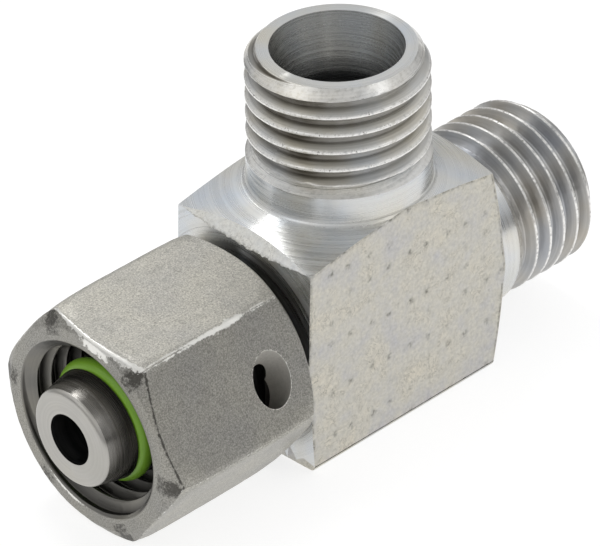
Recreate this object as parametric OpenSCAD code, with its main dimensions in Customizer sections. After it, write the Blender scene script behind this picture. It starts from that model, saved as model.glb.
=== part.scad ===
// Swivel run tee for hydraulic tube: two male cone ends, and a nut that turns on a sealing spigot.
// X is the run axis with the nut at -X, Z is the branch axis, the origin is where they cross.

/* [Male thread] */
// Diameter over the thread crests of both male ends
thread_d = 13.86; // [13.6:0.02:13.96]
// Thread pitch, which sets the depth of the run-out groove and of the nut's thread
thread_pitch = 1.5; // [1:0.25:1.5]
// Reach of the branch end and the run end from the crossing point
end_reach = 21.2; // [20.6:0.1:26]
// Diameter of the flat end face inside its chamfer
end_face_d = 11.94; // [11.2:0.02:12.6]
// Diameter of the plain collar under the thread
collar_d = 14; // [13.9:0.02:14.1]
// Reach of the branch collar
branch_collar_reach = 12.3; // [11.8:0.05:13]
// Reach of the run collar
run_collar_reach = 12.23; // [11.8:0.05:13]
// Width of the flat at the bottom of the run-out groove
runout_flat = 0.14; // [0.1:0.02:0.8]
// Flank half angle of the thread and of its run-out groove
flank_angle = 30; // [25:1:35]

/* [Tube sockets and bores] */
// Outside diameter of the tube
tube_d = 8; // [7.6:0.1:8.2]
// Radial clearance round the tube in its socket
tube_clearance = 0.1; // [0.05:0.01:0.2]
// Depth of the tube stop below the end face
socket_depth = 7; // [6:0.1:7.6]
// Included angle of the sealing cones and of the nose
cone_angle = 24; // [22:1:26]
// Diameter of the cone at its mouth
mouth_d = 10.1; // [9.6:0.05:10.6]
// Diameter of the bores that meet in the block
bore_d = 6; // [5:0.1:6.6]
// Diameter of the long bore through the nose
nose_bore_d = 4.1; // [3:0.1:4.8]
// Depth of the run bore past the branch axis, up to its point
run_bore_past = 3.5; // [3:0.1:5]
// Depth of the branch bore past the run axis, up to its point
branch_bore_past = 0.5; // [0:0.1:0.9]
// Point angle of the drills
drill_angle = 118; // [110:2:130]

/* [Block] */
// Thickness of the block between its raw faces
block_t = 14.1; // [14.1:0.1:16]
// Reach of the block's corners towards the run end
block_front = 9.13; // [9:0.05:9.6]
// Reach of the block's corners towards the nut
block_rear = 9.93; // [9.4:0.05:10.2]
// Height of the block's corners above the run axis
block_top = 8.94; // [8.7:0.05:9.3]
// Depth of the block below the run axis
block_bottom = 8.76; // [8.2:0.05:9.6]
// Slope of the turned face round the branch
top_slope = 13.5; // [8:0.5:15]
// Slope of the turned face round the run end
front_slope = 15.8; // [8:0.2:16]
// Slope of the turned face behind the nut
rear_slope = 4.3; // [0.5:0.1:5]
// Reach of the slanting raw face between branch and nut
facet_reach = 13.28; // [12.9:0.02:13.8]
// Rounding of the lower raw edges
block_edge_r = 0.5; // [0.2:0.05:1]
// Fillet between a collar and its turned face
collar_fillet = 0.5; // [0.2:0.05:0.8]

/* [Spigot] */
// Diameter of the journal that the nut turns on
journal_d = 11.8; // [11.4:0.05:12]
// Reach of the journal
journal_reach = 20; // [19.6:0.1:20.2]
// Reach of the nose
nose_reach = 27.68; // [27:0.05:29]
// Diameter of the nose at its tip, before the edge is rounded
nose_tip_d = 7.6; // [7.3:0.05:8.2]
// Rounding of the nose's edge
nose_edge_r = 0.74; // [0.1:0.02:0.9]

/* [Seal ring] */
// Cord diameter of the seal ring
ring_cord = 1.5; // [1.3:0.05:1.6]
// Width of the ring groove
ring_groove_w = 1.7; // [1.65:0.05:2]
// Diameter of the bottom of the ring groove
ring_groove_d = 6.76; // [6.4:0.02:7]
// Reach of the middle of the ring groove
ring_reach = 24.15; // [23.6:0.05:24.6]
// Clearance between the ring and the bottom of its groove
ring_clearance = 0.02; // [0.01:0.01:0.05]

/* [Retaining wire] */
// Diameter of the round retaining wire
wire_d = 2.4; // [1.8:0.05:2.6]
// Clearance round the wire in its grooves
wire_clearance = 0.05; // [0.02:0.01:0.1]
// Reach of the wire from the branch axis
wire_reach = 14.95; // [14:0.05:16]
// Angle left open between the ends of the wire
wire_gap = 60; // [20:1:70]
// Angle by which the wire's tail lies past the foot of the feed hole
wire_tail = 6; // [0:1:12]

/* [Swivel nut] */
// Width across the flats
nut_af = 16.9; // [16.7:0.05:18]
// Diameter over the slightly rounded hexagon corners
nut_corner_d = 19.24; // [18.6:0.02:19.4]
// Reach of the nut's front face
nut_front = 26.05; // [25.2:0.05:26.8]
// Reach of the nut's rear face
nut_rear = 11.1; // [10.9:0.05:11.8]
// Diameter of the front face inside its chamfer
nut_front_face_d = 16.5; // [15.6:0.05:16.7]
// Angle of the front chamfer
nut_front_chamfer = 30; // [15:1:45]
// Diameter of the rear face inside its chamfer
nut_rear_face_d = 16; // [14.6:0.05:16.7]
// Angle of the rear chamfer
nut_rear_chamfer = 35; // [15:1:45]
// Nominal diameter of the nut's thread
nut_thread_d = 14; // [13.96:0.02:14.1]
// Diameter of the countersink at the mouth of the nut
nut_mouth_d = 14.3; // [14.1:0.05:14.8]
// Diameter of the relief behind the thread
nut_relief_d = 14.1; // [14:0.05:14.8]
// Reach of the front of the relief
nut_relief_front = 20.4; // [20:0.05:21]
// Width of the relief
nut_relief_w = 1.2; // [0.8:0.05:2]
// Radial running clearance of the nut on the journal
nut_clearance = 0.05; // [0.02:0.01:0.09]
// Chamfer at the rear of the nut's bore
nut_bore_chamfer = 0.3; // [0.1:0.05:0.6]
// Turn of the hexagon about the run axis
nut_turn = 23.5; // [0:0.5:59.5]
// Diameter of the hole that the wire is fed through
feed_hole_d = 3.4; // [2.8:0.05:3.6]
// Slant of the feed hole against its flat
feed_tilt = 40; // [36:1:44]

/* [Hidden] */
$fn = 96;
// Length that every cut runs past the surface it opens
past = thread_pitch;
// Length beyond every part of the block
beyond = nose_reach;
thread_depth = 0.5413 * thread_pitch;
crest_r = thread_d / 2;
root_r = crest_r - thread_depth;
collar_r = collar_d / 2;
taper = tan(cone_angle / 2);
point = 1 / tan(drill_angle / 2);
socket_r = tube_d / 2 + tube_clearance;
cone_depth = (mouth_d / 2 - socket_r) / taper;
// Heights that the turned faces would reach on their own axes
top_corner_r = norm([block_front, block_t / 2]);
side_corner_r = norm([block_top, block_t / 2]);
top_peak = block_top + top_corner_r * tan(top_slope);
front_peak = block_front + side_corner_r * tan(front_slope);
rear_peak = block_rear + side_corner_r * tan(rear_slope);
journal_r = journal_d / 2;
nut_bore_r = journal_r + nut_clearance;
// The wire lies half in the journal and half in the nut
wire_ring_r = journal_r + nut_clearance / 2;
wire_groove_r = wire_d / 2 + wire_clearance;
ring_ring_r = ring_groove_d / 2 + ring_clearance + ring_cord / 2;
nut_minor_r = (nut_thread_d - 2 * thread_depth) / 2;
feed_angle = nut_turn - 90 + feed_tilt;
// Angle of the point where the feed hole runs into the groove
feed_touch = feed_angle - 90;

// Places what is drawn along +Z on the run end
module towards_run() {
    rotate([0, 90, 0]) children();
}

// Places what is drawn along +Z on the nut's side
module towards_nut() {
    rotate([0, -90, 0]) children();
}

// Section of the raw bar across the run, rounded along its lower edges
module bar_section() {
    translate([-block_t / 2, block_edge_r - block_bottom])
        square([block_t, block_bottom - block_edge_r + top_peak]);
    translate([block_edge_r - block_t / 2, -block_bottom])
        square([block_t - 2 * block_edge_r, 2 * block_edge_r]);
    for (side = [-1, 1])
        translate([side * (block_t / 2 - block_edge_r), block_edge_r - block_bottom])
            circle(r = block_edge_r);
}

// Corner between a collar and the turned face around it, filled up to the fillet's arc
module fillet_section(peak, slope) {
    arc_r = collar_r + collar_fillet;
    arc_z = peak - arc_r * tan(slope) + collar_fillet / cos(slope);
    difference() {
        polygon([
            [collar_r - past, arc_z - 2 * past],
            [collar_r - past, arc_z],
            [arc_r, arc_z],
            [arc_r - collar_fillet * sin(slope), arc_z - collar_fillet * cos(slope)]
        ]);
        translate([arc_r, arc_z]) circle(r = collar_fillet);
    }
}

// Everything under the turned face round the branch
module branch_side() {
    rotate_extrude() {
        polygon([
            [0, -beyond],
            [beyond, -beyond],
            [beyond, top_peak - beyond * tan(top_slope)],
            [0, top_peak]
        ]);
        fillet_section(top_peak, top_slope);
    }
}

// Everything between the two turned faces across the run
module run_sides() {
    towards_run() rotate_extrude() {
        polygon([
            [0, -rear_peak],
            [beyond, beyond * tan(rear_slope) - rear_peak],
            [beyond, front_peak - beyond * tan(front_slope)],
            [0, front_peak]
        ]);
        fillet_section(front_peak, front_slope);
    }
}

// Raw block between the ends, cut by its turned faces and the slanting raw face
module block() {
    intersection() {
        translate([-rear_peak, 0, 0]) rotate([90, 0, 90])
            linear_extrude(rear_peak + front_peak) bar_section();
        branch_side();
        run_sides();
        rotate([0, -45, 0]) translate([-beyond, -beyond, facet_reach - 2 * beyond])
            cube(2 * beyond);
    }
}

// Outside of a male end: collar, run-out groove, thread crests and chamfered face
module male_end(collar_reach) {
    flank = tan(flank_angle);
    groove_z = collar_reach + (collar_r - root_r) * flank;
    rotate_extrude() polygon([
        [0, 0],
        [collar_r, 0],
        [collar_r, collar_reach],
        [root_r, groove_z],
        [root_r, groove_z + runout_flat],
        [crest_r, groove_z + runout_flat + thread_depth * flank],
        [crest_r, end_reach - crest_r + end_face_d / 2],
        [end_face_d / 2, end_reach],
        [0, end_reach]
    ]);
}

// Inside of a male end: sealing cone, tube socket and drilled bore with its point
module end_bore(bore_past) {
    bore_r = bore_d / 2;
    rotate_extrude() polygon([
        [0, end_reach + past],
        [mouth_d / 2 + past * taper, end_reach + past],
        [socket_r, end_reach - cone_depth],
        [socket_r, end_reach - socket_depth],
        [bore_r, end_reach - socket_depth],
        [bore_r, -bore_past],
        [0, -bore_past - bore_r * point]
    ]);
}

// Half section of the spigot: journal, shoulder, taper and rounded nose with their grooves
module spigot_section() {
    half = cone_angle / 2;
    tip_r = nose_tip_d / 2;
    shoulder = (journal_r - tip_r - (nose_reach - journal_reach) * taper) / (1 - taper);
    edge_x = tip_r + nose_edge_r * (taper - 1 / cos(half));
    edge_y = nose_reach - nose_edge_r;
    difference() {
        union() {
            polygon([
                [0, 0],
                [journal_r, 0],
                [journal_r, journal_reach],
                [journal_r - shoulder, journal_reach + shoulder],
                [edge_x + nose_edge_r * cos(half), edge_y + nose_edge_r * sin(half)],
                [edge_x, nose_reach],
                [0, nose_reach]
            ]);
            translate([edge_x, edge_y]) circle(r = nose_edge_r);
        }
        translate([ring_groove_d / 2, ring_reach - ring_groove_w / 2])
            square([beyond, ring_groove_w]);
        translate([wire_ring_r, wire_reach]) circle(r = wire_groove_r);
    }
}

module tee_body() {
    color([0.78, 0.77, 0.73]) difference() {
        union() {
            block();
            male_end(branch_collar_reach);
            towards_run() male_end(run_collar_reach);
            towards_nut() rotate_extrude() spigot_section();
        }
        end_bore(branch_bore_past);
        towards_run() end_bore(run_bore_past);
        towards_nut() cylinder(d = nose_bore_d, h = nose_reach + past);
    }
}

// Half section of the material inside the nut's chamfers
module nut_section() {
    corner_r = nut_corner_d / 2;
    rear_rise = (corner_r - nut_rear_face_d / 2) * tan(nut_rear_chamfer);
    front_fall = (corner_r - nut_front_face_d / 2) * tan(nut_front_chamfer);
    polygon([
        [0, nut_rear],
        [nut_rear_face_d / 2, nut_rear],
        [corner_r, nut_rear + rear_rise],
        [corner_r, nut_front - front_fall],
        [nut_front_face_d / 2, nut_front],
        [0, nut_front]
    ]);
}

// Half section of the space inside the nut, from the chamfered rear bore to the countersunk mouth
module nut_hollow_section() {
    relief_rear = nut_relief_front - nut_relief_w;
    mouth_depth = nut_mouth_d / 2 - nut_minor_r;
    polygon([
        [0, nut_rear - past],
        [nut_bore_r + nut_bore_chamfer + past, nut_rear - past],
        [nut_bore_r, nut_rear + nut_bore_chamfer],
        [nut_bore_r, relief_rear],
        [nut_relief_d / 2, relief_rear],
        [nut_relief_d / 2, nut_relief_front],
        [nut_minor_r, nut_relief_front],
        [nut_minor_r, nut_front - mouth_depth],
        [nut_mouth_d / 2 + past, nut_front + past],
        [0, nut_front + past]
    ]);
}

// Slanting drilled hole that runs into the wire groove as a tangent
module feed_hole() {
    rotate(feed_angle) translate([0, -wire_ring_r, wire_reach]) rotate([0, 90, 0])
        rotate_extrude() polygon([
            [0, -feed_hole_d / 2 * point],
            [feed_hole_d / 2, 0],
            [feed_hole_d / 2, nut_af],
            [0, nut_af]
        ]);
}

module swivel_nut() {
    color([0.72, 0.71, 0.69]) towards_nut() difference() {
        intersection() {
            translate([0, 0, nut_rear]) rotate(nut_turn)
                cylinder(d = nut_af / cos(30), h = nut_front - nut_rear, $fn = 6);
            rotate_extrude() nut_section();
        }
        rotate_extrude() nut_hollow_section();
        rotate_extrude() translate([wire_ring_r, wire_reach]) circle(r = wire_groove_r);
        feed_hole();
    }
}

module o_ring() {
    color([0.45, 0.7, 0.2]) towards_nut() translate([0, 0, ring_reach])
        rotate_extrude() translate([ring_ring_r, 0]) circle(d = ring_cord);
}

module retaining_wire() {
    color([0.5, 0.5, 0.5]) towards_nut() translate([0, 0, wire_reach])
        rotate(feed_touch + wire_gap - wire_tail) rotate_extrude(angle = 360 - wire_gap)
            translate([wire_ring_r, 0]) circle(d = wire_d);
}

tee_body();
swivel_nut();
o_ring();
retaining_wire();
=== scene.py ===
import math

import bmesh
import bpy
import numpy as np
from mathutils import Matrix, Vector, noise


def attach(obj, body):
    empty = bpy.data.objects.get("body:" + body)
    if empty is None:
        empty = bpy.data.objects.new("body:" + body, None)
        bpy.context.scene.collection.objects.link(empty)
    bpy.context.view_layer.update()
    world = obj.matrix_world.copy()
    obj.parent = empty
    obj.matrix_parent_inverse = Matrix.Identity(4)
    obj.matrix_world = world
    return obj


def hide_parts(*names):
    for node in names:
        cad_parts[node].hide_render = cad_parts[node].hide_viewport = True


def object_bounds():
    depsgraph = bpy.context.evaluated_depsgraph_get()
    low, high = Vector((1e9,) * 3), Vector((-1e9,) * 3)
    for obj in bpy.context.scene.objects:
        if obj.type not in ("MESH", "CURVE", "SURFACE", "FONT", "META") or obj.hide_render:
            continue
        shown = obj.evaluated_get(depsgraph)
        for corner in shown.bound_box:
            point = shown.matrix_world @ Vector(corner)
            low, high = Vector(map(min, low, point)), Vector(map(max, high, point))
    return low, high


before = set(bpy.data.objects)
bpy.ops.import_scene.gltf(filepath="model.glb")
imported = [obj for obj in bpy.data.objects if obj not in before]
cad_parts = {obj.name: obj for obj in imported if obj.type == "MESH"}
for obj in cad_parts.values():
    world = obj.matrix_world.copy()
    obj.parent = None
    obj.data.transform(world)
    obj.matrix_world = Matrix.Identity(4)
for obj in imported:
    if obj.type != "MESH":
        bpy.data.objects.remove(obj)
cad_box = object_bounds()
# Everything below is worked out in millimetres and turned to metres when a mesh is made
MM = 0.001

# Sizes of the fitting, the same as the solids have where no comment says otherwise
PITCH = 1.5
CREST_R = 6.93
THREAD_DEPTH = 0.812
COLLAR_R = 7.0
COLLAR_FILLET = 0.5
END_REACH = 21.2
END_FACE_R = 5.97
BRANCH_COLLAR = 12.3
RUN_COLLAR = 12.23
BLOCK_HALF = 7.05
BLOCK_BOTTOM = 8.76
# Where the corners of the raw side faces lie: towards the branch, the run and the nut
BRANCH_CORNER = 8.94
RUN_CORNER = 9.13
NUT_SIDE_CORNER = 9.93
TOP_SLOPE = math.tan(math.radians(13.5))
FRONT_SLOPE = math.tan(math.radians(15.8))
REAR_SLOPE = math.tan(math.radians(4.3))
TOP_PEAK = BRANCH_CORNER + math.hypot(RUN_CORNER, BLOCK_HALF) * TOP_SLOPE
FRONT_PEAK = RUN_CORNER + math.hypot(BRANCH_CORNER, BLOCK_HALF) * FRONT_SLOPE
REAR_PEAK = NUT_SIDE_CORNER + math.hypot(BRANCH_CORNER, BLOCK_HALF) * REAR_SLOPE
# The slanting face over the nut, by its distance from the crossing of the axes
FACET = 13.28
FACET_RISE = FACET * math.sqrt(2)
NOSE_REACH = 27.68
NOSE_WALL = 25.0
NOSE_TIP_R = 3.85
NOSE_BORE_R = 2.05
NOSE_TAPER = math.radians(12)
# Sharper than in the solid, as the photograph shows it
NOSE_ROUNDING = 0.42
NUT_AF = 16.9
NUT_CORNER_R = 9.62
NUT_FRONT = 26.05
NUT_REAR = 11.1
NUT_BORE_R = 5.95
NUT_RELIEF_R = 7.05
NUT_RELIEF_START = 19.2
NUT_THREAD_START = 20.4
NUT_MOUTH_R = 7.15
NUT_THREAD_HIDDEN_R = 7.3
FRONT_CHAMFER_R = 8.25
FRONT_CHAMFER = math.tan(math.radians(30))
REAR_CHAMFER_R = 8.0
REAR_CHAMFER = math.tan(math.radians(35))
WIRE_RING_R = 5.925
WIRE_REACH = 14.95
WIRE_GROOVE_R = 1.25
FEED_R = 1.7
# Degrees round the run axis: one corner of the nut, and from there its worn parts and painted highlights
NUT_TURN = 23.5
TOP_FLAT = NUT_TURN - 30
WORN_GLINT_CORNER = NUT_TURN - 60
DRILLED_FLAT = NUT_TURN - 90
FEED_ANGLE = DRILLED_FLAT + 40
COUNTERSINK_GLINT = 160


def linear(code):
    """An sRGB hex colour as a linear colour with alpha."""
    parts = [int(code[i:i + 2], 16) / 255 for i in (0, 2, 4)]
    return tuple(c / 12.92 if c <= 0.04045 else ((c + 0.055) / 1.055) ** 2.4 for c in parts) + (1.0,)


def add(tree, kind, links=None, out=0, **settings):
    """Adds a node, applies its settings, sets or links its inputs, and returns one of its outputs. A kind
    that doesn't name its family is a shader node."""
    made = tree.nodes.new(kind if "Node" in kind else "ShaderNode" + kind)
    for name, value in settings.items():
        setattr(made, name, value)
    for key, value in (links or {}).items():
        socket = made.inputs[key]
        if isinstance(value, bpy.types.NodeSocket):
            tree.links.new(value, socket)
        else:
            socket.default_value = value
    return made.outputs[out] if made.outputs else made


def fill_ramp(ramp, stops):
    """Gives a colour ramp its stops, each a place along it and a linear colour."""
    ramp.elements.remove(ramp.elements[1])
    for number, (place, colour) in enumerate(stops):
        stop = ramp.elements.new(place) if number else ramp.elements[0]
        stop.position = place
        stop.color = colour


def new_material(name):
    """A material with an empty node tree, and its tree."""
    material = bpy.data.materials.new(name)
    material.use_nodes = True
    material.node_tree.nodes.clear()
    return material, material.node_tree


def smooth_min(a, b, k):
    """The smaller of two values, with the corner between them rounded over k."""
    h = np.clip(0.5 + 0.5 * (b - a) / k, 0, 1)
    return b * (1 - h) + a * h - k * h * (1 - h)


def ripple(points, scale, seed):
    """Smooth noise from -1 to 1 at points in millimetres, with features of about scale."""
    shift = Vector((seed * 7.31, seed * 3.17, seed * 5.73))
    return np.array([noise.noise(Vector(p) / scale + shift) for p in points])


def linked(name, data):
    """A new object of the scene for a mesh, a lamp or a camera."""
    made = bpy.data.objects.new(name, data)
    bpy.context.scene.collection.objects.link(made)
    return made


def give(mesh, *materials):
    """Gives a mesh its materials, in the order of their slots."""
    mesh.materials.clear()
    for material in materials:
        mesh.materials.append(material)


def note(mesh, fields):
    """Stores named values at a mesh's points, for its material to read."""
    for key, values in fields.items():
        layer = mesh.attributes.new(key, "FLOAT", "POINT")
        layer.data.foreach_set("value", np.asarray(values, dtype=np.float32))


def mesh_object(name, points, faces, fields=None):
    """A smooth mesh object from points in millimetres."""
    mesh = bpy.data.meshes.new(name)
    mesh.from_pydata((np.asarray(points) * MM).tolist(), [], faces)
    note(mesh, fields or {})
    mesh.shade_smooth()
    return linked(name, mesh)


def grid_faces(rows, columns, closed_rows=False, closed_columns=True, flip=False):
    """Quads that join a grid of points stored row by row."""
    faces = []
    for i in range(rows if closed_rows else rows - 1):
        row = i * columns
        next_row = (i + 1) % rows * columns
        for j in range(columns if closed_columns else columns - 1):
            after = (j + 1) % columns
            quad = (row + j, row + after, next_row + after, next_row + j)
            faces.append((quad[0], quad[3], quad[2], quad[1]) if flip else quad)
    return faces


def plain_copy(source, name):
    """The evaluated object as a plain mesh object of its own, with the source removed."""
    graph = bpy.context.evaluated_depsgraph_get()
    mesh = bpy.data.meshes.new_from_object(source.evaluated_get(graph))
    mesh.name = name
    bpy.data.objects.remove(source)
    return linked(name, mesh)


# Materials

def plated_tint(tree, place, size, detail, roughness, stops, shade):
    """Slow noise with clouds of a size in millimetres, and the colours that the plating takes from it,
    darkened or lightened by a finer shade."""
    cloud = add(tree, "TexNoise", {"Vector": place, "Scale": 1 / (size * MM), "Detail": detail,
                                   "Roughness": roughness})
    tint = add(tree, "ValToRGB", {0: cloud})
    fill_ramp(tint.node.color_ramp, [(at, linear(code)) for at, code in stops])
    shaded = add(tree, "Mix", {0: 1.0, 6: tint, 7: shade}, out=2, data_type="RGBA", blend_type="MULTIPLY")
    return cloud, shaded


def finish(tree, colour, metallic, roughness, relief, strength, depth, more=None):
    """Ends a material: colour, metal, roughness, and a relief of some strength and depth in millimetres."""
    bump = add(tree, "Bump", {"Height": relief, "Strength": strength, "Distance": depth * MM})
    surface = {"Base Color": colour, "Metallic": metallic, "Roughness": roughness, "Normal": bump}
    shader = add(tree, "BsdfPrincipled", {**surface, **(more or {})})
    add(tree, "OutputMaterial", {0: shader})


def turned_marks(tree, axis, ring_mm, threaded=False):
    """The places on a piece, the same places by radius and reach, and noise in rings round an axis, as a
    lathe tool leaves them. The real feed is about 0.1 mm, and most rings are drawn up to three times as
    coarse so that they show."""
    place = add(tree, "TexCoord", out="Object")
    parts = add(tree, "SeparateXYZ", {0: place}).node.outputs
    along, side = (parts[2], parts[0]) if axis == "Z" else (parts[0], parts[2])
    side_square = add(tree, "Math", {0: side, 1: side}, operation="MULTIPLY")
    square = add(tree, "Math", {0: parts[1], 1: parts[1], 2: side_square}, operation="MULTIPLY_ADD")
    radius = add(tree, "Math", {0: square}, operation="SQRT")
    angle = add(tree, "Math", {0: parts[1], 1: side}, operation="ARCTAN2")
    # A slow wander round the axis breaks the rings up into arcs
    wander = add(tree, "Math", {0: angle, 1: ring_mm * MM * 0.22}, operation="MULTIPLY")
    if threaded:
        # On a thread the lines follow the helix: their place is the distance from the crest
        follow = add(tree, "Attribute", out="Fac", attribute_name="tool_line")
        across = add(tree, "Math", {0: follow, 1: MM}, operation="MULTIPLY")
        slow = add(tree, "Math", {0: along, 1: 0.12}, operation="MULTIPLY")
        ring_place = add(tree, "CombineXYZ", {0: across, 1: wander, 2: slow})
    else:
        ring_place = add(tree, "CombineXYZ", {0: radius, 1: wander, 2: along})
    rings = add(tree, "TexNoise", {"Vector": ring_place, "Scale": 1 / (ring_mm * MM), "Detail": 3.0,
                                   "Roughness": 0.6})
    return place, ring_place, rings


def turned_steel(name, axis, tones, ring_mm, roughness, shade=(0.86, 1.04), threaded=False, stretch=0.6,
                 root=None, painted_shade_side=None, crest=0.0, crest_highlight_end=0.16, scratches=0.0, shade_below=None):
    """Free-machining steel, turned and zinc plated: fine rings round the axis that stretch each highlight
    across them, bright plating with a faint bluish and straw tint, and a few scratches with a painted
    highlight. A thread can have painted shade in its roots and a painted highlight on its crests, and a
    deep bore gets painted shade below a given height."""
    material, tree = new_material(name)
    place, ring_place, rings = turned_marks(tree, axis, ring_mm, threaded)
    ring_shade = add(tree, "MapRange", {0: rings, 1: 0.3, 2: 0.7, 3: shade[0], 4: shade[1]})
    cloud, shaded = plated_tint(tree, place, 5.0, 3.0, 0.5, zip((0.32, 0.5, 0.70), tones), ring_shade)
    if root or crest:
        # How deep in the thread a point lies, and less than nothing where the thread is cut away
        groove = add(tree, "Attribute", out="Fac", attribute_name="groove")
    if root:
        # Painted shade in the roots, uneven with the clouds and deepest at the bottom of the groove
        uneven = add(tree, "MapRange", {0: cloud, 1: 0.35, 2: 0.65, 3: 0.60, 4: 0.95})
        if painted_shade_side:
            # The painted shade in the roots is heavier towards one side of the thread
            towards = add(tree, "VectorMath", {0: place, 1: painted_shade_side}, out="Value",
                          operation="DOT_PRODUCT")
            side_share = add(tree, "MapRange", {0: towards, 1: -6.0 * MM, 2: 3.0 * MM, 3: 0.45, 4: 1.0})
            uneven = add(tree, "Math", {0: uneven, 1: side_share}, operation="MULTIPLY")
        root_shade = add(tree, "MapRange", {0: groove, 1: 0.22, 2: 0.92, 3: 0.0, 4: uneven})
        shaded = add(tree, "Mix", {0: root_shade, 6: shaded, 7: linear(root)}, out=2, data_type="RGBA")
    if crest:
        # Painted highlight on the crests and the end chamfer, broken up by chips, and dark chips on the
        # crests where threads knocked together
        off_crest = add(tree, "Math", {0: groove}, operation="ABSOLUTE")
        top = add(tree, "MapRange", {0: off_crest, 1: 0.02, 2: crest_highlight_end, 3: 1.0, 4: 0.0})
        nick = add(tree, "TexNoise", {"Vector": place, "Scale": 1 / (0.35 * MM), "Detail": 4.0,
                                      "Roughness": 0.7})
        nicked_highlight = add(tree, "MapRange", {0: nick, 1: 0.36, 2: 0.52, 3: 0.1, 4: crest})
        chamfer = add(tree, "MapRange", {0: groove, 1: -0.5, 2: -0.3, 3: 0.5, 4: 0.0})
        top_or_end = add(tree, "Math", {0: top, 1: chamfer}, operation="MAXIMUM")
        lit = add(tree, "Math", {0: top_or_end, 1: nicked_highlight}, operation="MULTIPLY")
        shaded = add(tree, "Mix", {0: lit, 6: shaded, 7: linear("F4F3F0")}, out=2, data_type="RGBA")
        chipped = add(tree, "MapRange", {0: nick, 1: 0.60, 2: 0.67, 3: 0.0, 4: 0.75})
        chip = add(tree, "Math", {0: top, 1: chipped}, operation="MULTIPLY")
        shaded = add(tree, "Mix", {0: chip, 6: shaded, 7: linear("55524D")}, out=2, data_type="RGBA")
    if shade_below:
        # Painted shade deep in the bore, below a given height
        height = add(tree, "SeparateXYZ", {0: place}, out=2)
        deep_shade = add(tree, "MapRange", {0: height, 1: (shade_below - 0.3) * MM, 2: (shade_below + 0.3) * MM,
                                     3: 0.85, 4: 0.0})
        shaded = add(tree, "Mix", {0: deep_shade, 6: shaded, 7: linear("3A3B3D")}, out=2, data_type="RGBA")
    rough = add(tree, "MapRange", {0: rings, 1: 0.25, 2: 0.75, 3: roughness - 0.07, 4: roughness + 0.09})
    if scratches:
        # Single deep tool marks, each a thin arc of rougher metal with a painted highlight
        marks = add(tree, "TexNoise", {"Vector": ring_place, "Scale": 1 / (0.11 * MM), "Detail": 1.0})
        bright = add(tree, "MapRange", {0: marks, 1: 0.62, 2: 0.70, 3: 0.0, 4: scratches})
        shaded = add(tree, "Mix", {0: bright, 6: shaded, 7: linear("F4F4F2")}, out=2, data_type="RGBA")
        rough = add(tree, "Math", {0: bright, 1: 0.5, 2: rough}, operation="MULTIPLY_ADD")
    round_axis = add(tree, "Tangent", direction_type="RADIAL", axis=axis)
    finish(tree, shaded, 1.0, rough, rings, 0.35, 0.02,
           {"Anisotropic": stretch, "Anisotropic Rotation": 0.25, "Tangent": round_axis})
    return material


def raw_face_steel(name, tones):
    """Cold drawn bar, zinc plated over its drawn skin: matt beige grey with cloudy patches, dark specks and
    hair lines, soft dark pits where the jaws held it, and a torn dark line along each cut edge."""
    material, tree = new_material(name)
    place = add(tree, "TexCoord", out="Object")
    fine = add(tree, "TexNoise", {"Vector": place, "Scale": 1 / (0.28 * MM), "Detail": 4.0,
                                  "Roughness": 0.7})
    fine_shade = add(tree, "MapRange", {0: fine, 1: 0.30, 2: 0.65, 3: 0.84, 4: 1.05})
    cloud, clouded = plated_tint(tree, place, 3.2, 5.0, 0.65, zip((0.28, 0.5, 0.76), tones), fine_shade)
    # Hair lines in the skin: where a twisted noise crosses its middle value
    twist = add(tree, "TexNoise", {"Vector": place, "Scale": 1 / (1.6 * MM), "Detail": 6.0,
                                   "Roughness": 0.75, "Distortion": 1.2})
    off_line = add(tree, "Math", {0: twist, 1: 0.5}, operation="SUBTRACT")
    near_line = add(tree, "Math", {0: off_line}, operation="ABSOLUTE")
    line = add(tree, "MapRange", {0: near_line, 1: 0.0, 2: 0.016, 3: 0.7, 4: 0.0})
    where = add(tree, "MapRange", {0: cloud, 1: 0.48, 2: 0.60, 3: 0.0, 4: 1.0})
    hair_line = add(tree, "Math", {0: line, 1: where}, operation="MULTIPLY")
    speck = add(tree, "TexNoise", {"Vector": place, "Scale": 1 / (0.42 * MM), "Detail": 6.0,
                                   "Roughness": 0.8, "Distortion": 0.6})
    speck_dark = add(tree, "MapRange", {0: speck, 1: 0.66, 2: 0.76, 3: 0.0, 4: 0.6})
    skin_dark = add(tree, "Math", {0: hair_line, 1: speck_dark}, operation="MAXIMUM")
    pit = add(tree, "Attribute", out="Fac", attribute_name="pit")
    pit_grain = add(tree, "MapRange", {0: fine, 1: 0.35, 2: 0.65, 3: 1.0, 4: 0.35})
    pit_dark = add(tree, "Math", {0: pit, 1: pit_grain}, operation="MULTIPLY")
    torn = add(tree, "Attribute", out="Fac", attribute_name="torn")
    torn_noise = add(tree, "TexNoise", {"Vector": place, "Scale": 1 / (0.22 * MM), "Detail": 3.0})
    torn_rest = add(tree, "MapRange", {0: torn_noise, 1: 0.38, 2: 0.56, 3: 0.2, 4: 1.0})
    torn_dark = add(tree, "Math", {0: torn, 1: torn_rest}, operation="MULTIPLY")
    dark = add(tree, "Math", {0: skin_dark, 1: pit_dark}, operation="MAXIMUM")
    darkest = add(tree, "Math", {0: dark, 1: torn_dark}, operation="MAXIMUM", use_clamp=True)
    colour = add(tree, "Mix", {0: darkest, 6: clouded, 7: linear("67665E")}, out=2, data_type="RGBA")
    relief = add(tree, "Math", {0: fine, 1: 0.8, 2: cloud}, operation="MULTIPLY_ADD")
    finish(tree, colour, 0.75, 0.55, relief, 0.3, 0.05)
    return material


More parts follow.
